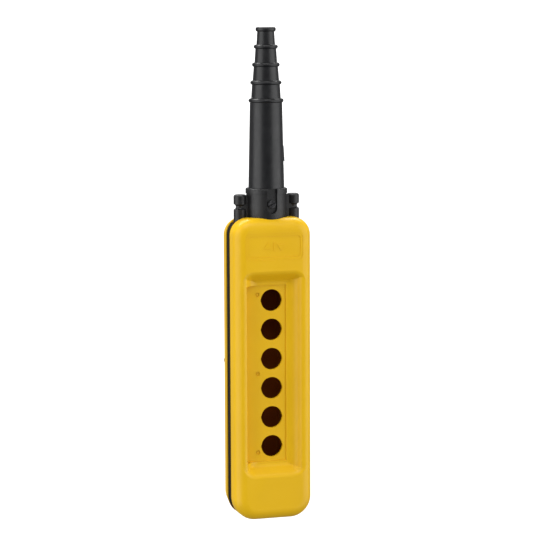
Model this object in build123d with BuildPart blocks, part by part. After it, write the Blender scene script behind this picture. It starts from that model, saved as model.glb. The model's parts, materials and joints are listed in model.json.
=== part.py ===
from build123d import *
import math
import os

# Pendant control station: an empty six-way hand enclosure that hangs from its cable.
#
# Two moulded half shells close on a gasket, a support collar with two wire ears is trapped in the
# joint at the top, and a stepped rubber sleeve leads the cable in. Six 22 mm cut-outs take the
# operators. The frame is X to the right, Y to the back and Z up, in millimetres. The origin is the
# centre of the cable entry at the very top of the sleeve.

# ---- driving dimensions -------------------------------------------------------------------
CASE_WIDTH = 81.5
CASE_TOP = -191.0
CASE_HEIGHT = 309.0
CASE_BOTTOM = CASE_TOP - CASE_HEIGHT
CASE_MID = (CASE_TOP + CASE_BOTTOM) / 2
TOP_CORNER = 18.0
BOTTOM_CORNER = 22.0
WALL = 3.0
TOP_WALL = 7.5

FRONT_JOINT = -0.5  # Y of the front shell's rim
REAR_JOINT = 8.0  # Y of the rear shell's rim
FRONT_FACE = -27.0  # Y of the foremost face
FRONT_ROUND = 11.5
RIM_RELIEF = 1.5  # the front shell's sides draw in by this much towards the rim
RIM_RELIEF_LENGTH = 6.0
REAR_FACE = 38.0  # Y of the rearmost face
REAR_INSET = 4.2  # how far the back face is drawn in on each side
REAR_ROUND = 17.5

# the trough in the front shell that shields the operators
TROUGH_MID = -350.0
TROUGH_FLOOR = -16.9  # Y
TROUGH_CORNER = 14.0  # radius of the hollow beside the floor
TROUGH_EDGE = 6.0  # radius of the round that follows it
TROUGH_CREST = 32.2  # X of the foremost line of that round
TROUGH_REACH = FRONT_FACE - 13.0  # Y, clear in front of the case
PANEL_WALL = 4.2  # wall behind the trough
PANEL_HALF_WIDTH = 32.0
PANEL_CORNER = 4.0
DISH_HALF_LENGTH = 103.8  # from TROUGH_MID to each end's rim
DISH_RUN = 9.2  # length of the slope from the floor up to the rim
DISH_CORNER = 14.0  # radius of the rim's corners
DISH_CORNER_X = 20.0  # X of their axes
DISH_FOOT = 5.5  # radius of the hollow at the slope's foot
DISH_LIP = 8.0  # radius of the round at its rim
DISH_SINK = 0.02  # its floor lies this much behind the trough's, which shapes the floor alone
DISH_RUNOUT = (14.0, 0.75)  # how far the rim's run-out goes outwards and forwards

# the legend strip sunk into the trough's floor; it reaches further to the left of the holes
STRIP_LEFT = -29.0
STRIP_RIGHT = 15.0
STRIP_HALF_LENGTH = 90.5
STRIP_DEPTH = 1.2
STRIP_FLOOR = TROUGH_FLOOR + STRIP_DEPTH

OPERATORS = 6
OPERATOR_PITCH = 30.0
OPERATOR_RADIUS = 11.15
KEY_WIDTH = 3.0
KEY_DEPTH = 0.3
DIMPLE_X = -15.0
DIMPLE_PITCH = 81.0
DIMPLE_RADIUS = 2.4
DIMPLE_DEPTH = 1.0
PIP_RADIUS = 0.8

# label field: width, height, corner radius and depth of its two steps
LABEL_STEPS = [(60.5, 27.0, 5.0, 0.35), (55.5, 21.5, 3.0, 0.9)]
LABEL_MID = -219.5
LABEL_FLOOR = FRONT_FACE + 0.9
EMBLEM_HEIGHT = 0.5

# cover screws: X and Z of each pair's centre
SCREW_PLACES = [(28.0, CASE_TOP - 18.0), (33.8, TROUGH_MID + 8.6), (26.0, CASE_BOTTOM + 17.0)]
SCREW_RADIUS = 2.0
SCREW_SEAT = 26.0  # Y of the face that the screw's seal sits on
SCREW_SEAL = 0.8
SCREW_HEAD_RADIUS = 3.75
SCREW_HEAD_HEIGHT = 3.4
SCREW_TIP = -8.0  # Y
SEAT_RADIUS = 4.3
SCREW_HOLE_RADIUS = 2.25
REAR_BOSS_RADIUS = 6.0
FRONT_BOSS_RADIUS = 4.6
INSERT_RADIUS = 2.8
INSERT_BORE = 2.06
INSERT_LENGTH = 8.0
INSERT_RECESS = 0.3
REAR_BOSS_END = -0.2  # Y
STUB_RADIUS = 3.7
CAPTIVE_BORE = 3.05
CAPTIVE_DEPTH = 10.0

# gasket between the shells
GASKET_INSET = 0.9
GASKET_WIDTH = 1.5
GASKET_FACE = -0.2  # Y of its front face
GASKET_KEY = 1.2
GASKET_KEY_INSETS = (GASKET_INSET + 0.5, GASKET_INSET + 1.1)
GASKET_GROOVE = 1.5  # inset of the groove along the gasket's outside
GASKET_GROOVE_FRONT = 2.4  # Y
GASKET_GROOVE_BACK = 5.4  # Y
GASKET_END = 34.8  # X where it stops beside each ear

# support collar
BARREL_RADIUS = 20.4
RIM_RADIUS = 21.2
RIM_HEIGHT = 5.0
COLLAR_TOP = -162.0
BARREL_FOOT = CASE_TOP - 3.5
EAR_X = 28.0
EAR_RADIUS = 6.5
EAR_TOP = -168.0
EAR_FOOT = CASE_TOP - 5.6
WEB_HALF_THICKNESS = 4.0
WEB_DROP = 0.8
WIRE_GROOVE_Z = -180.5
WIRE_GROOVE_RADIUS = 2.7
WIRE_GROOVE_REACH = 7.0  # from the ear's axis to the middle of the groove's round
NECK_RADIUS = 18.0
FLANGE_RADIUS = 19.5
FLANGE_TOP = CASE_TOP - TOP_WALL - 0.3
FLANGE_THICKNESS = 3.0
COLLAR_BORE = 14.7
POCKET_HALF_WIDTH = 5.3
POCKET_BOTTOM = -187.0
POCKET_FLOOR = -17.6  # Y
SEAT_GAP = 0.25

# cable sleeve: outer radius at the top and bottom of each step, from the cable entry down
STEP_PITCH = 18.0
FIRST_BEAD = -19.7
STEPS = [(8.5, 9.6), (10.4, 11.6), (12.15, 13.55), (14.0, 15.1)]
BEAD_RADII = [12.2, 14.0, 15.8, 17.7]
BEAD_SIZE = 2.1
LIP_RADIUS = 10.25
LIP_HEIGHT = 4.6
SLEEVE_SHOULDER = 16.3
SLEEVE_FOOT = 18.2
STEP_BORES = [6.6, 8.4, 10.2]
TUBE_BORE_TOP = 12.4
TUBE_BORE_FOOT = 14.4
SPIGOT_RADIUS = 14.5
SPIGOT_BORE = 11.5
SPIGOT_FLANGE = 17.2
SPIGOT_LIP = 3.0
ENTRY_BORE = 5.0
ENTRY_LENGTH = 15.0
TAB_TOP = -119.5
TAB_BOTTOM = -135.2
TAB_HEIGHT = 0.95
TAB_HALF_WIDTH = 3.0
TAB_FOOT_RADIUS = 18.55

LOCK_SCREW_Z = -177.5
LOCK_SCREW_RADIUS = 2.5
LOCK_HEAD_RADIUS = 4.2
LOCK_HEAD_HEIGHT = 2.3
LOCK_TIP = -14.9  # Y

SEAL_NECK_RADIUS = 16.2
SEAL_NECK_TOP = -195.6
SEAL_SECTION = 0.85

SLOT_WIDTH = 1.1
SLOT_DEPTH = 1.5
SHANK_GAP = 0.1
WASHER_THICKNESS = 0.8
CAPTIVE_THICKNESS = 1.0
CAPTIVE_RADIUS = 2.8
CAPTIVE_NECK = 1.5
CAPTIVE_FACE = 0.3  # Y
CLAMP_HEAD_HEIGHT = 2.8

# cable clamp inside the case
CLAMP_Z = -224.0
CLAMP_POST_X = 18.0
CLAMP_POST_RADIUS = 5.0
CLAMP_POST_TOP = REAR_JOINT  # Y
CLAMP_HALF_HEIGHT = 6.0
SADDLE_HALF_WIDTH = 23.0
SADDLE_BACK = -8.0  # Y at rest, slack
SADDLE_THICKNESS = 5.0
SADDLE_NOTCH_RADIUS = 14.0
SADDLE_NOTCH_DEPTH = 2.0
CLAMP_SCREW_RADIUS = 2.0
CLAMP_SCREW_TIP = 19.0
CLAMP_BORE_END = 34.5
ANVIL_FACE = 13.0
PAD_THICKNESS = 2.0
PAD_HALF_WIDTH = 10.0
PAD_RIB = 0.8

os.makedirs("parts", exist_ok=True)


def finish_part(part, label):
    """Labels a piece, or a group of separate pieces, and writes it."""
    part.label = label
    export_step(part, f"parts/{label}.step")


def screw_places():
    """X and Z of the six cover screws, left and right of each height."""
    return [(side * x, z) for x, z in SCREW_PLACES for side in (-1, 1)]


def case_outline(inset=0.0, extra_top=0.0, corner_keep=False):
    """The case's outline seen from the front, drawn in by inset on every side."""
    height = CASE_HEIGHT - 2 * inset - extra_top
    shrink = 0.0 if corner_keep else inset
    with BuildSketch(mode=Mode.PRIVATE) as outline:
        with Locations((0, CASE_MID - extra_top / 2)):
            Rectangle(CASE_WIDTH - 2 * inset, height)
        fillet(outline.vertices().group_by(Axis.Y)[-1], TOP_CORNER - shrink - extra_top / 3)
        fillet(outline.vertices().group_by(Axis.Y)[0], BOTTOM_CORNER - shrink)
    return outline.sketch


def trough_section():
    """The trough's section: each side rises in a hollow and a round that meets the case's own round."""
    side_x = CASE_WIDTH / 2 - FRONT_ROUND
    side_y = FRONT_FACE + FRONT_ROUND
    across = (TROUGH_CREST - side_x) / (FRONT_ROUND - TROUGH_EDGE)
    forward = math.sqrt(1 - across**2)
    crest_y = side_y - forward * (FRONT_ROUND - TROUGH_EDGE) - 0.05
    foot_y = TROUGH_FLOOR - TROUGH_CORNER
    foot_x = TROUGH_CREST - math.sqrt((TROUGH_CORNER + TROUGH_EDGE) ** 2 - (crest_y - foot_y) ** 2)
    tilt = math.degrees(math.atan2(crest_y - foot_y, TROUGH_CREST - foot_x))
    sweep = 180 - tilt - math.degrees(math.acos(across))
    with BuildSketch(mode=Mode.PRIVATE) as section:
        with BuildLine():
            hollow = CenterArc((foot_x, foot_y), TROUGH_CORNER, 90, tilt - 90)
            roll = CenterArc((TROUGH_CREST, crest_y), TROUGH_EDGE, 180 + tilt, sweep)
            leave = roll @ 1 + Vector(forward, across) * 8
            Polyline(roll @ 1, leave, (leave.X, TROUGH_REACH), (0, TROUGH_REACH))
            Line((0, TROUGH_FLOOR), hollow @ 0)
            mirror(about=Plane.YZ)
        make_face()
    return section.sketch


def panel_section():
    """The section that bounds the wall behind the trough."""
    floor = TROUGH_FLOOR + PANEL_WALL
    with BuildSketch(mode=Mode.PRIVATE) as section:
        with Locations((0, (TROUGH_REACH + floor) / 2)):
            Rectangle(2 * PANEL_HALF_WIDTH, floor - TROUGH_REACH)
        fillet(section.vertices().group_by(Axis.Y)[-1], PANEL_CORNER)
    return section.sketch


def dish_wall(grow):
    """Section of an end's wall, measured outwards from the axis of its corners, grow deeper."""
    floor = TROUGH_FLOOR + grow + DISH_SINK
    slope = math.atan2(TROUGH_FLOOR - FRONT_FACE, DISH_RUN)
    foot = DISH_CORNER - DISH_RUN + grow * math.tan(slope / 2)
    rim = DISH_CORNER + grow / math.sin(slope)
    with BuildSketch(mode=Mode.PRIVATE) as wall:
        with BuildLine():
            rise = FilletPolyline(
                (0, floor),
                (foot, floor),
                (rim, FRONT_FACE),
                (rim + DISH_RUNOUT[0], FRONT_FACE - DISH_RUNOUT[1]),
                radius=[DISH_FOOT + grow, DISH_LIP],
            )
            Polyline(rise @ 1, ((rise @ 1).X, TROUGH_REACH), (0, TROUGH_REACH), rise @ 0)
        make_face()
    return wall.sketch


def dished(section, grow=0.0):
    """A trough of that section whose ends slope up to the front face, with rounded corners."""
    floor = TROUGH_FLOOR + grow + DISH_SINK
    wall = dish_wall(grow)
    corner_out = DISH_CORNER_X + grow
    corner_distance = DISH_HALF_LENGTH - DISH_CORNER
    with BuildPart() as ends:
        with BuildSketch(Plane.XZ.offset(-floor)):
            with Locations((0, TROUGH_MID)):
                Rectangle(2 * CASE_WIDTH, 2 * corner_distance)
        extrude(amount=floor - TROUGH_REACH)
        for side in (-1, 1):
            corner_z = TROUGH_MID + side * corner_distance
            with BuildSketch(Plane((0, 0, corner_z), x_dir=(0, 0, side), z_dir=(-side, 0, 0))):
                add(wall)
            extrude(amount=corner_out, both=True)
            for corner_x in (-corner_out, corner_out):
                with BuildSketch(Plane((corner_x, 0, corner_z), x_dir=(0, 0, side), z_dir=(-side, 0, 0))):
                    add(wall)
                revolve(axis=Axis((corner_x, 0, corner_z), (0, 1, 0)))
    with BuildPart() as cutter:
        with BuildSketch(Plane.XY.offset(TROUGH_MID - CASE_HEIGHT / 2)):
            add(section)
        extrude(amount=CASE_HEIGHT)
        add(ends.part, mode=Mode.INTERSECT)
    return cutter.part


def gasket_band(outer, inner):
    """A band that follows the case's edge from one ear round the bottom to the other ear."""
    with BuildSketch(mode=Mode.PRIVATE) as band:
        add(case_outline(outer))
        add(case_outline(inner), mode=Mode.SUBTRACT)
        with Locations((0, CASE_TOP)):
            Rectangle(2 * GASKET_END, 2 * TOP_CORNER, mode=Mode.SUBTRACT)
    return band.sketch


def collar_foot(grow=0.0):
    """The part of the support collar that sinks into the shells' top, with room for grow around it."""
    with BuildPart() as foot:
        with BuildSketch(Plane.XY.offset(BARREL_FOOT - grow)):
            Circle(RIM_RADIUS + grow)
            Rectangle(2 * EAR_X, 2 * WEB_HALF_THICKNESS + 2 * grow)
        extrude(amount=12)
        with BuildSketch(Plane.XY.offset(EAR_FOOT - grow)):
            with Locations((-EAR_X, 0), (EAR_X, 0)):
                Circle(EAR_RADIUS + grow)
        extrude(amount=15)
        with BuildSketch(Plane.XY.offset(FLANGE_TOP)):
            Circle(NECK_RADIUS + grow)
        extrude(amount=8)
        with BuildSketch(Plane.XY.offset(FLANGE_TOP - FLANGE_THICKNESS - SPIGOT_LIP - grow)):
            Circle(FLANGE_RADIUS + grow)
        extrude(amount=FLANGE_THICKNESS + SPIGOT_LIP + 2 * grow)
    return foot.part


# ---- front shell --------------------------------------------------------------------------
operator_heights = [TROUGH_MID + OPERATOR_PITCH * (i - (OPERATORS - 1) / 2) for i in range(OPERATORS)]

with BuildPart() as front_outer:
    with BuildSketch(Plane.XZ.offset(-FRONT_JOINT)):
        add(case_outline())
    extrude(amount=FRONT_JOINT - FRONT_FACE)
    fillet(front_outer.faces().sort_by(Axis.Y)[0].edges(), FRONT_ROUND)
    rim_face = front_outer.faces().sort_by(Axis.Y)[-1]
    chamfer(rim_face.edges(), RIM_RELIEF, RIM_RELIEF_LENGTH, reference=rim_face)

with BuildPart() as front_cavity:
    with BuildSketch(Plane.XZ.offset(-FRONT_JOINT)):
        add(case_outline(WALL, TOP_WALL - WALL))
    extrude(amount=FRONT_JOINT - FRONT_FACE - WALL)
    fillet(front_cavity.faces().sort_by(Axis.Y)[0].edges(), FRONT_ROUND - WALL)
    add(dished(panel_section(), PANEL_WALL), mode=Mode.SUBTRACT)
    with BuildSketch(Plane.XZ.offset(-FRONT_JOINT)):
        with Locations(*screw_places()):
            Circle(FRONT_BOSS_RADIUS)
    extrude(amount=40, mode=Mode.SUBTRACT)

with BuildPart() as front_shell:
    add(front_outer.part)
    add(dished(trough_section()), mode=Mode.SUBTRACT)
    add(front_cavity.part, mode=Mode.SUBTRACT)
    add(collar_foot(SEAT_GAP), mode=Mode.SUBTRACT)
    # legend strip
    with BuildSketch(Plane.XZ.offset(-STRIP_FLOOR)):
        with Locations(((STRIP_LEFT + STRIP_RIGHT) / 2, TROUGH_MID)):
            Rectangle(STRIP_RIGHT - STRIP_LEFT, 2 * STRIP_HALF_LENGTH)
    extrude(amount=STRIP_FLOOR - TROUGH_REACH, mode=Mode.SUBTRACT)
    # operator cut-outs, each keyed at both sides
    with BuildSketch(Plane.XZ):
        with Locations(*[(0, z) for z in operator_heights]):
            Circle(OPERATOR_RADIUS)
            Rectangle(2 * (OPERATOR_RADIUS + KEY_DEPTH), KEY_WIDTH)
    extrude(amount=-STRIP_FLOOR + 1, mode=Mode.SUBTRACT)
    # dimples with a centre pip, left of the cut-outs
    with BuildSketch(Plane.XZ.offset(-STRIP_FLOOR - DIMPLE_DEPTH)):
        with Locations(*[(DIMPLE_X, TROUGH_MID + DIMPLE_PITCH * i) for i in (-1, 0, 1)]):
            Circle(DIMPLE_RADIUS)
            Circle(PIP_RADIUS, mode=Mode.SUBTRACT)
    extrude(amount=DIMPLE_DEPTH + 0.5, mode=Mode.SUBTRACT)
    # holes for the threaded inserts
    with BuildSketch(Plane.XZ.offset(-FRONT_JOINT)):
        with Locations(*screw_places()):
            Circle(INSERT_RADIUS)
    extrude(amount=INSERT_LENGTH + 2, mode=Mode.SUBTRACT)
    # label field with a raised emblem of two arrows
    for width, height, corner, depth in LABEL_STEPS:
        with BuildSketch(Plane.XZ.offset(-FRONT_FACE - depth)):
            with Locations((0, LABEL_MID)):
                RectangleRounded(width, height, corner)
        extrude(amount=4, mode=Mode.SUBTRACT)
    with BuildSketch(Plane.XZ.offset(-LABEL_FLOOR)):
        with Locations((-7, LABEL_MID)):
            RegularPolygon(4.2, 3, rotation=90)
        with Locations((7, LABEL_MID)):
            RegularPolygon(4.2, 3, rotation=-90)
        with Locations((0, LABEL_MID)):
            Rectangle(1.4, 8.4)
    extrude(amount=EMBLEM_HEIGHT)
finish_part(front_shell.part, "front_shell")

with BuildPart() as front_inserts:
    with BuildSketch(Plane.XZ.offset(-FRONT_JOINT + INSERT_RECESS)):
        with Locations(*screw_places()):
            Circle(INSERT_RADIUS)
            Circle(INSERT_BORE, mode=Mode.SUBTRACT)
    extrude(amount=INSERT_LENGTH)
finish_part(front_inserts.part, "front_inserts")

# ---- rear shell ---------------------------------------------------------------------------


def rear_solid(wall=0.0, top=0.0):
    """The rear shell's outer form, or its cavity when wall and top say how far inside it lies."""
    floor = REAR_FACE - wall
    with BuildPart() as form:
        with BuildSketch(Plane.XZ.offset(-REAR_JOINT)):
            add(case_outline(wall, top))
        with BuildSketch(Plane.XZ.offset(-floor)):
            add(case_outline(wall + REAR_INSET, top, corner_keep=True))
        loft(ruled=True)
        fillet(form.faces().sort_by(Axis.Y)[-1].edges(), REAR_ROUND - wall)
    return form.part


with BuildPart() as rear_cavity:
    add(rear_solid(WALL, TOP_WALL - WALL))
    # columns for the cover screws
    with BuildSketch(Plane.XZ.offset(-REAR_JOINT)):
        with Locations(*screw_places()):
            Circle(REAR_BOSS_RADIUS)
    extrude(amount=-40, mode=Mode.SUBTRACT)
    # posts and anvil of the cable clamp
    with BuildSketch(Plane.XZ.offset(-REAR_JOINT)):
        with Locations((-CLAMP_POST_X, CLAMP_Z), (CLAMP_POST_X, CLAMP_Z)):
            Circle(CLAMP_POST_RADIUS)
    extrude(amount=-40, mode=Mode.SUBTRACT)
    with BuildSketch(Plane.XZ.offset(-ANVIL_FACE)):
        with Locations((0, CLAMP_Z)):
            Rectangle(2 * CLAMP_POST_X, 2 * CLAMP_HALF_HEIGHT)
    extrude(amount=-40, mode=Mode.SUBTRACT)

with BuildPart() as rear_shell:
    add(rear_solid())
    # screw columns stand forward of the rim to meet the front shell's bosses
    with BuildSketch(Plane.XZ.offset(-REAR_BOSS_END)):
        with Locations(*screw_places()):
            Circle(STUB_RADIUS)
    extrude(amount=-(REAR_JOINT - REAR_BOSS_END))
    add(rear_cavity.part, mode=Mode.SUBTRACT)
    add(collar_foot(SEAT_GAP), mode=Mode.SUBTRACT)
    with BuildSketch(Plane.XZ):
        with Locations(*screw_places()):
            Circle(SCREW_HOLE_RADIUS)
    extrude(amount=-REAR_FACE, both=True, mode=Mode.SUBTRACT)
    # seats for the heads and seals, open at the back
    with BuildSketch(Plane.XZ.offset(-SCREW_SEAT)):
        with Locations(*screw_places()):
            Circle(SEAT_RADIUS)
    extrude(amount=-30, mode=Mode.SUBTRACT)
    # room for the captive washers behind the joint
    with BuildSketch(Plane.XZ.offset(-REAR_BOSS_END)):
        with Locations(*screw_places()):
            Circle(CAPTIVE_BORE)
    extrude(amount=-CAPTIVE_DEPTH, mode=Mode.SUBTRACT)
    # posts: inserts at the mouth, clearance behind them
    with BuildSketch(Plane.XZ.offset(-CLAMP_POST_TOP)):
        with Locations((-CLAMP_POST_X, CLAMP_Z), (CLAMP_POST_X, CLAMP_Z)):
            Circle(INSERT_RADIUS)
    extrude(amount=-INSERT_LENGTH, mode=Mode.SUBTRACT)
    with BuildSketch(Plane.XZ.offset(-CLAMP_POST_TOP)):
        with Locations((-CLAMP_POST_X, CLAMP_Z), (CLAMP_POST_X, CLAMP_Z)):
            Circle(SCREW_HOLE_RADIUS)
    extrude(amount=-(CLAMP_BORE_END - CLAMP_POST_TOP), mode=Mode.SUBTRACT)
    # key along the rim that the gasket sits over
    with BuildSketch(Plane.XZ.offset(-REAR_JOINT)):
        add(gasket_band(*GASKET_KEY_INSETS))
    extrude(amount=GASKET_KEY)
finish_part(rear_shell.part, "rear_shell")

# ---- gasket -------------------------------------------------------------------------------
with BuildPart() as shell_gasket:
    with BuildSketch(Plane.XZ.offset(-GASKET_FACE)):
        add(gasket_band(GASKET_INSET, GASKET_INSET + GASKET_WIDTH))
    extrude(amount=-(REAR_JOINT - GASKET_FACE))
    with BuildSketch(Plane.XZ.offset(-GASKET_GROOVE_FRONT)):
        add(gasket_band(0, GASKET_GROOVE))
    extrude(amount=-(GASKET_GROOVE_BACK - GASKET_GROOVE_FRONT), mode=Mode.SUBTRACT)
    with BuildSketch(Plane.XZ.offset(-REAR_JOINT)):
        add(gasket_band(*GASKET_KEY_INSETS))
    extrude(amount=GASKET_KEY, mode=Mode.SUBTRACT)
finish_part(shell_gasket.part, "shell_gasket")

# ---- support collar -----------------------------------------------------------------------
with BuildPart() as support_collar:
    # barrel with its rim
    with BuildSketch(Plane.XY.offset(BARREL_FOOT)):
        Circle(BARREL_RADIUS)
    extrude(amount=COLLAR_TOP - BARREL_FOOT)
    with BuildSketch(Plane.XY.offset(COLLAR_TOP - RIM_HEIGHT)):
        Circle(RIM_RADIUS)
    extrude(amount=RIM_HEIGHT)
    fillet(support_collar.edges().group_by(Axis.Z)[-1], 1.2)
    # ears and the webs that carry them
    with BuildSketch(Plane.XY.offset(EAR_FOOT)):
        with Locations((-EAR_X, 0), (EAR_X, 0)):
            Circle(EAR_RADIUS)
    extrude(amount=EAR_TOP - EAR_FOOT)
    ear_tops = support_collar.edges().filter_by(GeomType.CIRCLE).filter_by(
        lambda edge: abs(edge.arc_center.X) > 20 and abs(edge.center().Z - EAR_TOP) < 0.01
    )
    fillet(ear_tops, 2.4)
    # waist for the support wire
    for side in (-1, 1):
        with BuildSketch(Plane.XZ):
            with Locations((side * (EAR_X + WIRE_GROOVE_REACH), WIRE_GROOVE_Z)):
                Circle(WIRE_GROOVE_RADIUS)
        revolve(axis=Axis((side * EAR_X, 0, 0), (0, 0, 1)), mode=Mode.SUBTRACT)
    with BuildSketch(Plane.XY.offset(BARREL_FOOT)):
        Rectangle(2 * EAR_X, 2 * WEB_HALF_THICKNESS)
    extrude(amount=EAR_TOP - WEB_DROP - BARREL_FOOT)
    # neck through the shells and the flange that hangs behind their top wall
    with BuildSketch(Plane.XY.offset(FLANGE_TOP - FLANGE_THICKNESS)):
        Circle(NECK_RADIUS)
    extrude(amount=BARREL_FOOT - FLANGE_TOP + FLANGE_THICKNESS)
    with BuildSketch(Plane.XY.offset(FLANGE_TOP - FLANGE_THICKNESS)):
        Circle(FLANGE_RADIUS)
    extrude(amount=FLANGE_THICKNESS)
    # seal groove in the neck
    with BuildSketch(Plane.XY.offset(SEAL_NECK_TOP - 2 * SEAL_SECTION)):
        Circle(NECK_RADIUS)
        Circle(SEAL_NECK_RADIUS, mode=Mode.SUBTRACT)
    extrude(amount=2 * SEAL_SECTION, mode=Mode.SUBTRACT)
    # bore for the sleeve
    with BuildSketch(Plane.XY.offset(FLANGE_TOP - 10)):
        Circle(COLLAR_BORE)
    extrude(amount=60, mode=Mode.SUBTRACT)
    # pocket for the lock screw, open at the top
    with BuildSketch(Plane.XZ.offset(-POCKET_FLOOR)):
        with Locations((0, POCKET_BOTTOM + POCKET_HALF_WIDTH)):
            Circle(POCKET_HALF_WIDTH)
            Rectangle(2 * POCKET_HALF_WIDTH, 40, align=(Align.CENTER, Align.MIN))
    extrude(amount=20, mode=Mode.SUBTRACT)
    with BuildSketch(Plane.XZ):
        with Locations((0, LOCK_SCREW_Z)):
            Circle(LOCK_SCREW_RADIUS)
    extrude(amount=30, mode=Mode.SUBTRACT)
finish_part(support_collar.part, "support_collar")

with BuildPart() as collar_seal:
    with BuildSketch(Plane.XZ):
        with Locations((SEAL_NECK_RADIUS + SEAL_SECTION, SEAL_NECK_TOP - SEAL_SECTION)):
            Circle(SEAL_SECTION)
    revolve(axis=Axis.Z)
finish_part(collar_seal.part, "collar_seal")

# ---- cable sleeve -------------------------------------------------------------------------


def ring_height(step):
    """Z of a step's bead, counted from the cable entry down."""
    return FIRST_BEAD - STEP_PITCH * step


with BuildPart() as cable_sleeve:
    # steps
    for step, (top_radius, foot_radius) in enumerate(STEPS):
        step_top = ring_height(step - 1) if step else -LIP_HEIGHT / 2
        with BuildSketch(Plane.XY.offset(ring_height(step))):
            Circle(foot_radius)
        with BuildSketch(Plane.XY.offset(step_top)):
            Circle(top_radius)
        loft(ruled=True)
    # tube and spigot
    with BuildSketch(Plane.XY.offset(COLLAR_TOP)):
        Circle(SLEEVE_FOOT)
    with BuildSketch(Plane.XY.offset(ring_height(3))):
        Circle(SLEEVE_SHOULDER)
    loft(ruled=True)
    with BuildSketch(Plane.XY.offset(FLANGE_TOP - FLANGE_THICKNESS - SPIGOT_LIP)):
        Circle(SPIGOT_RADIUS)
    extrude(amount=COLLAR_TOP - FLANGE_TOP + FLANGE_THICKNESS + SPIGOT_LIP)
    with BuildSketch(Plane.XY.offset(FLANGE_TOP - FLANGE_THICKNESS - SPIGOT_LIP)):
        Circle(SPIGOT_FLANGE)
    extrude(amount=SPIGOT_LIP)
    # beads and the rolled lip
    with BuildSketch(Plane.XZ):
        for step, bead_radius in enumerate(BEAD_RADII):
            with Locations((bead_radius - BEAD_SIZE, ring_height(step))):
                Circle(BEAD_SIZE)
            with Locations(((bead_radius - BEAD_SIZE) / 2 + 3, ring_height(step))):
                Rectangle(bead_radius - BEAD_SIZE - 6, 2 * BEAD_SIZE)
        with Locations(((LIP_RADIUS + 3) / 2, -LIP_HEIGHT / 2)):
            RectangleRounded(LIP_RADIUS - 3, LIP_HEIGHT, 1.9)
    revolve(axis=Axis.Z)
    # inside: one bore for each step, a long taper in the tube and a narrower spigot
    with BuildSketch(Plane.XZ):
        with BuildLine():
            Polyline(
                (0, 1),
                (ENTRY_BORE, 1),
                (ENTRY_BORE, -ENTRY_LENGTH),
                (STEP_BORES[0], -ENTRY_LENGTH - 4),
                (STEP_BORES[0], ring_height(1)),
                (STEP_BORES[1], ring_height(1) - 4),
                (STEP_BORES[1], ring_height(2)),
                (STEP_BORES[2], ring_height(2) - 4),
                (STEP_BORES[2], ring_height(3)),
                (TUBE_BORE_TOP, ring_height(3) - 6),
                (TUBE_BORE_FOOT, COLLAR_TOP + 12),
                (SPIGOT_BORE, COLLAR_TOP + 5),
                (SPIGOT_BORE, FLANGE_TOP - FLANGE_THICKNESS - SPIGOT_LIP - 1),
                (0, FLANGE_TOP - FLANGE_THICKNESS - SPIGOT_LIP - 1),
                close=True,
            )
        make_face()
    revolve(axis=Axis.Z, mode=Mode.SUBTRACT)
    # thumb tab on the right: a wedge that grows downwards and then steps back
    tab_root = SLEEVE_SHOULDER - 1
    with BuildSketch(Plane.XZ.offset(-TAB_HALF_WIDTH)):
        with BuildLine():
            Polyline(
                (tab_root, TAB_TOP),
                (TAB_FOOT_RADIUS - TAB_HEIGHT, TAB_TOP),
                (TAB_FOOT_RADIUS, TAB_BOTTOM),
                (tab_root, TAB_BOTTOM),
                close=True,
            )
        make_face()
    extrude(amount=2 * TAB_HALF_WIDTH)
finish_part(cable_sleeve.part, "cable_sleeve")

with BuildPart() as sleeve_lock_screw:
    with BuildSketch(Plane.XZ.offset(-POCKET_FLOOR)):
        with Locations((0, LOCK_SCREW_Z)):
            Circle(LOCK_HEAD_RADIUS)
    extrude(amount=LOCK_HEAD_HEIGHT)
    fillet(sleeve_lock_screw.edges().group_by(Axis.Y)[0], 0.6)
    with BuildSketch(Plane.XZ.offset(-LOCK_TIP)):
        with Locations((0, LOCK_SCREW_Z)):
            Circle(LOCK_SCREW_RADIUS)
    extrude(amount=LOCK_TIP - POCKET_FLOOR)
    with BuildSketch(Plane.XZ.offset(-POCKET_FLOOR + LOCK_HEAD_HEIGHT)):
        with Locations((0, LOCK_SCREW_Z)):
            Rectangle(2 * LOCK_HEAD_RADIUS, SLOT_WIDTH, rotation=25)
    extrude(amount=-SLOT_DEPTH, mode=Mode.SUBTRACT)
finish_part(sleeve_lock_screw.part, "sleeve_lock_screw")

# ---- cover screws, each captive on its own washer -----------------------------------------
with BuildPart() as screw_seals:
    with BuildSketch(Plane.XZ.offset(-SCREW_SEAT)):
        with Locations(*screw_places()):
            Circle(SCREW_HEAD_RADIUS)
            Circle(SCREW_RADIUS + SHANK_GAP, mode=Mode.SUBTRACT)
    extrude(amount=-SCREW_SEAL)
finish_part(screw_seals.part, "screw_seals")

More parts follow.
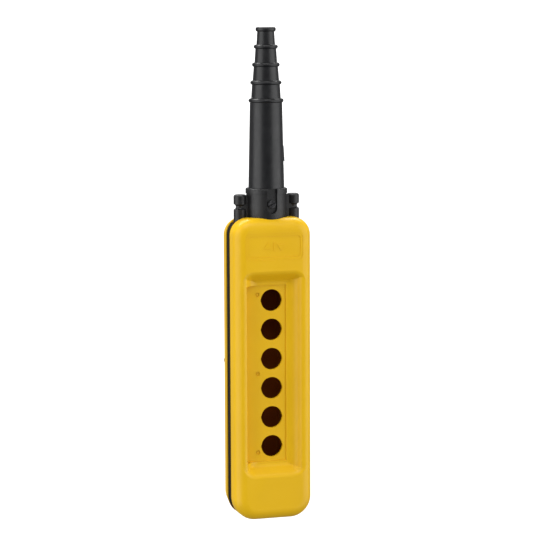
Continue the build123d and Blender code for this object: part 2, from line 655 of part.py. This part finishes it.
for number, (screw_x, screw_z) in enumerate(screw_places(), start=1):
    with BuildPart() as cover_screw:
        with BuildSketch(Plane.XZ.offset(-SCREW_SEAT - SCREW_SEAL)):
            with Locations((screw_x, screw_z)):
                Circle(SCREW_HEAD_RADIUS)
        extrude(amount=-SCREW_HEAD_HEIGHT)
        fillet(cover_screw.edges().group_by(Axis.Y)[-1], 0.8)
        with BuildSketch(Plane.XZ.offset(-SCREW_TIP)):
            with Locations((screw_x, screw_z)):
                Circle(SCREW_RADIUS)
        extrude(amount=-(SCREW_SEAT + SCREW_SEAL - SCREW_TIP))
        chamfer(cover_screw.edges().group_by(Axis.Y)[0], 0.6)
        with BuildSketch(Plane.XZ.offset(-SCREW_SEAT - SCREW_SEAL - SCREW_HEAD_HEIGHT)):
            with Locations((screw_x, screw_z)):
                Rectangle(2 * SCREW_HEAD_RADIUS, SLOT_WIDTH, rotation=40 * number)
        extrude(amount=SLOT_DEPTH, mode=Mode.SUBTRACT)
        # groove that keeps the captive washer
        with BuildSketch(Plane.XZ.offset(-CAPTIVE_FACE)):
            with Locations((screw_x, screw_z)):
                Circle(SCREW_RADIUS)
                Circle(CAPTIVE_NECK, mode=Mode.SUBTRACT)
        extrude(amount=-CAPTIVE_THICKNESS, mode=Mode.SUBTRACT)
    finish_part(cover_screw.part, f"cover_screw_{number}")

    with BuildPart() as captive_washer:
        with BuildSketch(Plane.XZ.offset(-CAPTIVE_FACE)):
            with Locations((screw_x, screw_z)):
                Circle(CAPTIVE_RADIUS)
                Circle(CAPTIVE_NECK, mode=Mode.SUBTRACT)
        extrude(amount=-CAPTIVE_THICKNESS)
    finish_part(captive_washer.part, f"captive_washer_{number}")

# ---- cable clamp inside the case ----------------------------------------------------------
clamp_places = [(-CLAMP_POST_X, CLAMP_Z), (CLAMP_POST_X, CLAMP_Z)]

with BuildPart() as clamp_inserts:
    with BuildSketch(Plane.XZ.offset(-CLAMP_POST_TOP)):
        with Locations(*clamp_places):
            Circle(INSERT_RADIUS)
            Circle(INSERT_BORE, mode=Mode.SUBTRACT)
    extrude(amount=-INSERT_LENGTH)
finish_part(clamp_inserts.part, "clamp_inserts")

with BuildPart() as clamp_saddle:
    with BuildSketch(Plane.XY.offset(CLAMP_Z - CLAMP_HALF_HEIGHT)):
        with Locations((0, SADDLE_BACK - SADDLE_THICKNESS / 2)):
            Rectangle(2 * SADDLE_HALF_WIDTH, SADDLE_THICKNESS)
        with Locations((0, SADDLE_BACK - SADDLE_NOTCH_DEPTH + SADDLE_NOTCH_RADIUS)):
            Circle(SADDLE_NOTCH_RADIUS, mode=Mode.SUBTRACT)
    extrude(amount=2 * CLAMP_HALF_HEIGHT)
    fillet(clamp_saddle.edges().filter_by(Axis.Y), 2.5)
    with BuildSketch(Plane.XZ.offset(-SADDLE_BACK)):
        with Locations(*clamp_places):
            Circle(SCREW_HOLE_RADIUS)
    extrude(amount=2 * SADDLE_THICKNESS, mode=Mode.SUBTRACT)
finish_part(clamp_saddle.part, "clamp_saddle")

saddle_front = SADDLE_BACK - SADDLE_THICKNESS
with BuildPart() as clamp_washers:
    with BuildSketch(Plane.XZ.offset(-saddle_front)):
        with Locations(*clamp_places):
            Circle(SCREW_HEAD_RADIUS + 0.6)
            Circle(SCREW_RADIUS + SHANK_GAP, mode=Mode.SUBTRACT)
    extrude(amount=WASHER_THICKNESS)
finish_part(clamp_washers.part, "clamp_washers")

with BuildPart() as clamp_screws:
    with BuildSketch(Plane.XZ.offset(-saddle_front + WASHER_THICKNESS)):
        with Locations(*clamp_places):
            Circle(SCREW_HEAD_RADIUS)
    extrude(amount=CLAMP_HEAD_HEIGHT)
    fillet(clamp_screws.edges().group_by(Axis.Y)[0], 0.8)
    with BuildSketch(Plane.XZ.offset(-CLAMP_SCREW_TIP)):
        with Locations(*clamp_places):
            Circle(CLAMP_SCREW_RADIUS)
    extrude(amount=CLAMP_SCREW_TIP - saddle_front + WASHER_THICKNESS)
    chamfer(clamp_screws.edges().group_by(Axis.Y)[-1], 0.6)
    with BuildSketch(Plane.XZ.offset(-saddle_front + WASHER_THICKNESS + CLAMP_HEAD_HEIGHT)):
        with Locations(*clamp_places):
            Rectangle(2 * SCREW_HEAD_RADIUS, SLOT_WIDTH, rotation=35)
    extrude(amount=-SLOT_DEPTH, mode=Mode.SUBTRACT)
finish_part(clamp_screws.part, "clamp_screws")

with BuildPart() as clamp_pad:
    with BuildSketch(Plane.XZ.offset(-ANVIL_FACE)):
        with Locations((0, CLAMP_Z)):
            Rectangle(2 * PAD_HALF_WIDTH, 2 * CLAMP_HALF_HEIGHT)
    extrude(amount=PAD_THICKNESS)
    with BuildSketch(Plane.XZ.offset(-ANVIL_FACE + PAD_THICKNESS)):
        with Locations(*[(0, CLAMP_Z + rib) for rib in (-4, 0, 4)]):
            Rectangle(2 * PAD_HALF_WIDTH, 1.6)
    extrude(amount=PAD_RIB)
finish_part(clamp_pad.part, "clamp_pad")
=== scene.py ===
import json
import math

import bpy
from mathutils import Matrix, Vector


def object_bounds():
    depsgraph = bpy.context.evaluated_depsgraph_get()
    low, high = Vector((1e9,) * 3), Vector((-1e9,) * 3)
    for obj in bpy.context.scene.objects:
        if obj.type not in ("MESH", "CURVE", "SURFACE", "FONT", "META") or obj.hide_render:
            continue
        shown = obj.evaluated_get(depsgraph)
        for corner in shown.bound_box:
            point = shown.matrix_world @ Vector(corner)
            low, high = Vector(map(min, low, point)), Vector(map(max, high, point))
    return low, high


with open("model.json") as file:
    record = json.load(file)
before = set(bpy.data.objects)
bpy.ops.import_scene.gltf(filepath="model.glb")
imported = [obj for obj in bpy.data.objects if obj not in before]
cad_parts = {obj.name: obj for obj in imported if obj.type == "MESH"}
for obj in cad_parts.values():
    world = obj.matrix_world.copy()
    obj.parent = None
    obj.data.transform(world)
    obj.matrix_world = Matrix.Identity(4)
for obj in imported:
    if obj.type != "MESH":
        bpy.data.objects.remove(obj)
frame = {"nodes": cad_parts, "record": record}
cad_low, cad_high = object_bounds()
MM = 0.001

# ---- camera: a long lens a little left of the front and a little above it ------------------
CAMERA_YAW = math.radians(17.28)
CAMERA_LIFT = math.radians(9.51)
CAMERA_ROLL = math.radians(0.22)
AIM_ACROSS = math.radians(-0.133)
AIM_UP = math.radians(2.98)
CAMERA_DISTANCE = 2.089
LENS_MM = 138.5
SENSOR_MM = 36.0
FAR_CLIP = 50.0


def mount(name):
    """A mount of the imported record, by name."""
    return next(m for m in frame["record"]["mounts"] if m["name"] == name)


def make_camera():
    """The camera looks at the cut-outs' middle, then turns a little up to take in the sleeve."""
    target = Vector(mount("operators_inner")["pos_m"])
    back = Vector((
        -math.sin(CAMERA_YAW) * math.cos(CAMERA_LIFT),
        -math.cos(CAMERA_YAW) * math.cos(CAMERA_LIFT),
        math.sin(CAMERA_LIFT),
    ))
    right = Vector((math.cos(CAMERA_YAW), -math.sin(CAMERA_YAW), 0.0))
    up = back.cross(right)
    looking = Matrix((right, up, back)).transposed()
    turned = (
        looking
        @ Matrix.Rotation(-AIM_ACROSS, 3, "Y")
        @ Matrix.Rotation(AIM_UP, 3, "X")
        @ Matrix.Rotation(-CAMERA_ROLL, 3, "Z")
    )
    data = bpy.data.cameras.new("camera")
    data.lens = LENS_MM
    data.sensor_width = SENSOR_MM
    data.clip_end = FAR_CLIP
    camera = bpy.data.objects.new("camera", data)
    camera.matrix_world = Matrix.Translation(target + back * CAMERA_DISTANCE) @ turned.to_4x4()
    bpy.context.scene.collection.objects.link(camera)
    bpy.context.scene.camera = camera


make_camera()

# ---- materials ----------------------------------------------------------------------------
# sockets of a mix node that blends colours
MIX_FIRST = 6
MIX_SECOND = 7
MIX_RESULT = 2

# the rear shell's form in metres, for the painted shade on its inside
CASE_HALF_WIDTH = 0.0419
CASE_HALF_HEIGHT = 0.1556
CASE_SHIFT = 0.0045  # from the cut-outs' middle up to the case's
CASE_TAPER = 0.14
CASE_BACK = 0.038
CASE_ROUND = 0.0175
MID_WALL = 0.0154  # between the inner and the outer side of the round


class Shader:
    """A node material under construction: a principled shader and short ways to feed it."""

    def __init__(self, name, roughness, metallic=0.0, specular=0.5):
        self.material = bpy.data.materials.new(name)
        self.material.use_nodes = True
        self.tree = self.material.node_tree
        self.principled = self.tree.nodes["Principled BSDF"]
        self.principled.inputs["Metallic"].default_value = metallic
        self.principled.inputs["Roughness"].default_value = roughness
        self.principled.inputs["Specular IOR Level"].default_value = specular
        self.place = self.tree.nodes.new("ShaderNodeTexCoord").outputs["Object"]
        self.normal = None

    def noise(self, grain_mm, detail=4.0, stretch=(1.0, 1.0, 1.0), seed=0.0):
        """Noise whose features are about grain_mm across, in object space."""
        mapping = self.tree.nodes.new("ShaderNodeMapping")
        mapping.inputs["Location"].default_value = (seed, seed * 0.7, -seed)
        mapping.inputs["Scale"].default_value = stretch
        self.tree.links.new(self.place, mapping.inputs["Vector"])
        node = self.tree.nodes.new("ShaderNodeTexNoise")
        node.inputs["Scale"].default_value = 1.0 / (grain_mm * MM)
        node.inputs["Detail"].default_value = detail
        self.tree.links.new(mapping.outputs["Vector"], node.inputs["Vector"])
        return node.outputs["Fac"]

    def ramp(self, value, *stops):
        """A colour ramp; each stop is a position and a colour or grey."""
        node = self.tree.nodes.new("ShaderNodeValToRGB")
        while len(node.color_ramp.elements) < len(stops):
            node.color_ramp.elements.new(0.5)
        for element, (position, colour) in zip(node.color_ramp.elements, stops):
            element.position = position
            element.color = (*colour, 1.0) if isinstance(colour, tuple) else (colour,) * 3 + (1.0,)
        self.tree.links.new(value, node.inputs["Fac"])
        return node.outputs["Color"]

    def calculate(self, operation, first, second=0.0):
        """A maths node on two numbers or sockets."""
        node = self.tree.nodes.new("ShaderNodeMath")
        node.operation = operation
        for socket, value in zip(node.inputs, (first, second)):
            if isinstance(value, float):
                socket.default_value = value
            else:
                self.tree.links.new(value, socket)
        return node.outputs[0]

    def mix(self, factor, first, second):
        """A blend from a colour socket to a fixed colour."""
        node = self.tree.nodes.new("ShaderNodeMix")
        node.data_type = "RGBA"
        self.tree.links.new(factor, node.inputs["Factor"])
        self.tree.links.new(first, node.inputs[MIX_FIRST])
        node.inputs[MIX_SECOND].default_value = (*second, 1.0)
        return node.outputs[MIX_RESULT]

    def colour(self, value):
        """Feeds the base colour."""
        self.tree.links.new(value, self.principled.inputs["Base Color"])

    def roughness(self, value):
        """Feeds the roughness, in place of the constant."""
        self.tree.links.new(value, self.principled.inputs["Roughness"])

    def bump(self, value, height_mm, strength=1.0):
        """Adds a bump of that height; later bumps lie on the earlier ones."""
        node = self.tree.nodes.new("ShaderNodeBump")
        node.inputs["Distance"].default_value = height_mm * MM
        node.inputs["Strength"].default_value = strength
        self.tree.links.new(value, node.inputs["Height"])
        if self.normal is not None:
            self.tree.links.new(self.normal, node.inputs["Normal"])
        self.normal = node.outputs["Normal"]
        self.tree.links.new(self.normal, self.principled.inputs["Normal"])


def painted_shade_inside_rear_shell(shader):
    """1 on the rear shell's inner surfaces, 0 on its outside and on the front shell: the mask of the
    painted shade inside the rear shell.
    """
    split = shader.tree.nodes.new("ShaderNodeSeparateXYZ")
    shader.tree.links.new(shader.place, split.inputs["Vector"])
    x, y, z = split.outputs
    case_middle = mount("operators_inner")["pos_m"][2] + CASE_SHIFT
    taper = shader.calculate("MULTIPLY", y, CASE_TAPER)
    gaps = []
    for distance, half in (
        (x, CASE_HALF_WIDTH),
        (shader.calculate("SUBTRACT", z, case_middle), CASE_HALF_HEIGHT),
    ):
        spread = shader.calculate("ADD", shader.calculate("ABSOLUTE", distance), taper)
        past = shader.calculate("SUBTRACT", spread, half - CASE_ROUND)
        gaps.append(shader.calculate("MAXIMUM", past, 0.0))
    past = shader.calculate("SUBTRACT", y, CASE_BACK - CASE_ROUND)
    gaps.append(shader.calculate("MAXIMUM", past, 0.0))
    squares = [shader.calculate("MULTIPLY", gap, gap) for gap in gaps]
    total = shader.calculate("ADD", shader.calculate("ADD", squares[0], squares[1]), squares[2])
    within = shader.calculate("LESS_THAN", total, MID_WALL**2)
    return shader.calculate("MULTIPLY", within, shader.calculate("GREATER_THAN", y, 0.0))


def shell_plastic():
    """Yellow moulded plastic: satin with flow shading and a fine skin; painted shade turns the rear
    shell's inside dark brown.
    """
    shader = Shader("shell_plastic", roughness=0.36, specular=0.26)
    outside = shader.ramp(
        shader.noise(60, detail=2.0),
        (0.25, (0.760, 0.445, 0.006)),
        (0.75, (0.815, 0.490, 0.008)),
    )
    # painted shade: the rear shell's inner surfaces get a dark brown in place of the yellow
    shader.colour(shader.mix(painted_shade_inside_rear_shell(shader), outside, (0.40, 0.10, 0.008)))
    shader.roughness(shader.ramp(shader.noise(9, detail=6.0, seed=3), (0.3, 0.30), (0.7, 0.42)))
    shader.bump(shader.noise(18, detail=1.0, seed=5), 0.12, strength=0.25)
    shader.bump(shader.noise(0.35, detail=3.0), 0.012, strength=0.5)
    return shader.material


def sleeve_rubber():
    """Black moulded rubber with a soft sheen, a faint bloom and a slight orange peel."""
    shader = Shader("sleeve_rubber", roughness=0.38, specular=0.5)
    shader.colour(shader.ramp(
        shader.noise(12, detail=5.0),
        (0.3, (0.0020, 0.0023, 0.0034)),
        (0.75, (0.0045, 0.0049, 0.0064)),
    ))
    shader.roughness(shader.ramp(shader.noise(6, detail=5.0, seed=2), (0.3, 0.33), (0.7, 0.45)))
    shader.bump(shader.noise(1.1, detail=3.0), 0.03, strength=0.3)
    return shader.material


def collar_plastic():
    """Glass-filled black plastic: satin, finely grained, with pale fibre specks."""
    shader = Shader("collar_plastic", roughness=0.45, specular=0.5)
    shader.colour(shader.ramp(
        shader.noise(0.9, detail=6.0),
        (0.35, (0.0030, 0.0030, 0.0036)),
        (0.62, (0.0055, 0.0055, 0.0063)),
        (0.80, (0.014, 0.014, 0.016)),
    ))
    shader.roughness(shader.ramp(shader.noise(3, detail=5.0, seed=4), (0.3, 0.38), (0.7, 0.52)))
    shader.bump(shader.noise(0.6, detail=4.0, seed=1), 0.03, strength=0.4)
    return shader.material


def seal_rubber():
    """Matt black seal rubber with a dusty, slightly browned skin."""
    shader = Shader("seal_rubber", roughness=0.7, specular=0.3)
    shader.colour(shader.ramp(
        shader.noise(5, detail=5.0),
        (0.3, (0.008, 0.006, 0.005)),
        (0.75, (0.018, 0.015, 0.012)),
    ))
    shader.bump(shader.noise(0.7, detail=4.0), 0.04, strength=0.5)
    return shader.material


def black_steel():
    """Blackened steel with brighter rubbed spots."""
    shader = Shader("black_steel", roughness=0.4, metallic=0.6)
    shader.colour(shader.ramp(
        shader.noise(1.6, detail=6.0),
        (0.4, (0.018, 0.018, 0.020)),
        (0.8, (0.075, 0.075, 0.080)),
    ))
    shader.roughness(shader.ramp(shader.noise(1.0, detail=4.0, seed=2), (0.3, 0.32), (0.7, 0.52)))
    shader.bump(shader.noise(0.4, detail=3.0, seed=7), 0.01, strength=0.5)
    return shader.material


def plain_steel():
    """Zinc-plated steel with turning marks."""
    shader = Shader("plain_steel", roughness=0.3, metallic=1.0)
    shader.colour(shader.ramp(
        shader.noise(2.5, detail=4.0),
        (0.3, (0.52, 0.53, 0.56)),
        (0.7, (0.68, 0.68, 0.70)),
    ))
    shader.roughness(shader.ramp(shader.noise(0.8, detail=4.0), (0.3, 0.22), (0.7, 0.42)))
    shader.bump(shader.noise(0.25, stretch=(1.0, 6.0, 1.0)), 0.01, strength=0.5)
    return shader.material


def insert_brass():
    """Turned brass, slightly dulled."""
    shader = Shader("insert_brass", roughness=0.3, metallic=1.0)
    shader.colour(shader.ramp(
        shader.noise(1.5, detail=4.0),
        (0.3, (0.55, 0.36, 0.12)),
        (0.7, (0.72, 0.50, 0.20)),
    ))
    shader.roughness(shader.ramp(shader.noise(0.8, detail=4.0), (0.3, 0.24), (0.7, 0.45)))
    shader.bump(shader.noise(0.25, stretch=(1.0, 6.0, 1.0)), 0.01, strength=0.5)
    return shader.material


def washer_plastic():
    """Natural nylon, a little waxy."""
    shader = Shader("washer_plastic", roughness=0.45)
    shader.colour(shader.ramp(
        shader.noise(2.0, detail=3.0),
        (0.3, (0.60, 0.58, 0.50)),
        (0.7, (0.70, 0.68, 0.60)),
    ))
    shader.bump(shader.noise(0.5, detail=2.0), 0.01, strength=0.5)
    return shader.material


MAKERS = [
    shell_plastic, sleeve_rubber, collar_plastic, seal_rubber,
    black_steel, plain_steel, insert_brass, washer_plastic,
]
finishes = {maker.__name__: maker() for maker in MAKERS}
for subpart in frame["record"]["subparts"]:
    node = frame["nodes"][subpart["node"]]
    node.data.materials.clear()
    node.data.materials.append(finishes[subpart["material_slot"]])

# ---- room: pale floor that sweeps up all round, wide soft boxes at both sides and overhead --
FLOOR_DROP = 0.8
SWEEP_RADIUS = 0.8
ROOM_HALF = 4.0
WALL_TOP = 5.0
MIDDLE_DISC = 0.02  # radius of the floor's innermost ring
SPOKES = 64
SWEEP_STEPS = 14
WORLD_STRENGTH = 0.22

# name, azimuth in degrees, distance, height, size and power of the boxes that light the station
STATION_BOXES = [
    ("left_box", -80, 1.6, 0.0, (1.7, 2.4), 27),
    ("right_box", 56, 1.6, 0.0, (1.9, 2.4), 27),
    ("top_box", -12, 1.2, 1.8, (1.8, 1.2), 22),
]
BACKDROP_BOX = ("backdrop_box", 180, 1.2, 2.2, (3.5, 1.5), 230)


def make_room():
    """A round floor below the hanging station, curving up into a wall; it casts no light back on it."""
    level = cad_low[2] - FLOOR_DROP
    rings = [(MIDDLE_DISC, level), (ROOM_HALF - SWEEP_RADIUS, level)]
    for step in range(1, SWEEP_STEPS + 1):
        angle = math.pi / 2 * step / SWEEP_STEPS
        rings.append((
            ROOM_HALF - SWEEP_RADIUS + SWEEP_RADIUS * math.sin(angle),
            level + SWEEP_RADIUS * (1 - math.cos(angle)),
        ))
    rings.append((ROOM_HALF, level + WALL_TOP))
    vertices, faces = [], []
    for radius, height in rings:
        for spoke in range(SPOKES):
            turn = 2 * math.pi * spoke / SPOKES
            vertices.append((radius * math.cos(turn), radius * math.sin(turn), height))
    for ring in range(len(rings) - 1):
        for spoke in range(SPOKES):
            a = ring * SPOKES + spoke
            b = ring * SPOKES + (spoke + 1) % SPOKES
            faces.append((a, a + SPOKES, b + SPOKES, b))
    faces.append(tuple(range(SPOKES)))
    mesh = bpy.data.meshes.new("floor")
    mesh.from_pydata(vertices, [], faces)
    for polygon in mesh.polygons:
        polygon.use_smooth = True
    floor = bpy.data.objects.new("floor", mesh)
    bpy.context.scene.collection.objects.link(floor)
    shader = Shader("floor_paint", roughness=0.9, specular=0.1)
    shader.colour(shader.ramp(shader.noise(400), (0.3, 0.90), (0.7, 0.93)))
    floor.data.materials.append(shader.material)
    floor.visible_glossy = False
    floor.visible_diffuse = False
    floor.visible_shadow = False


def soft_box(name, place, aim, size, power):
    """A rectangular area light that stands at place and faces aim."""
    data = bpy.data.lights.new(name, "AREA")
    data.shape = "RECTANGLE"
    data.size, data.size_y = size
    data.energy = power
    light = bpy.data.objects.new(name, data)
    light.location = place
    light.rotation_euler = (Vector(aim) - Vector(place)).to_track_quat("-Z", "Y").to_euler()
    bpy.context.scene.collection.objects.link(light)


def around(azimuth, distance, height):
    """A place round the station; azimuth 0 is in front of it and 90 to its right."""
    turn = math.radians(azimuth)
    middle = (cad_low + cad_high) / 2
    return middle + Vector((math.sin(turn), -math.cos(turn), 0)) * distance + Vector((0, 0, height))


def make_lights():
    """Two tall side boxes, one overhead, and one that whitens the backdrop."""
    middle = (cad_low + cad_high) / 2
    for name, azimuth, distance, height, size, power in STATION_BOXES:
        soft_box(name, around(azimuth, distance, height), middle, size, power)
    name, azimuth, distance, height, size, power = BACKDROP_BOX
    backdrop = Vector((0.0, ROOM_HALF - SWEEP_RADIUS, cad_low[2]))
    soft_box(name, around(azimuth, distance, height), backdrop, size, power)


def make_world():
    """An even, weak white all round."""
    world = bpy.data.worlds.new("studio")
    world.use_nodes = True
    background = world.node_tree.nodes["Background"]
    background.inputs["Color"].default_value = (1.0, 1.0, 1.0, 1.0)
    background.inputs["Strength"].default_value = WORLD_STRENGTH
    bpy.context.scene.world = world


make_room()
make_lights()
make_world()
bpy.context.scene.view_settings.view_transform = "Standard"
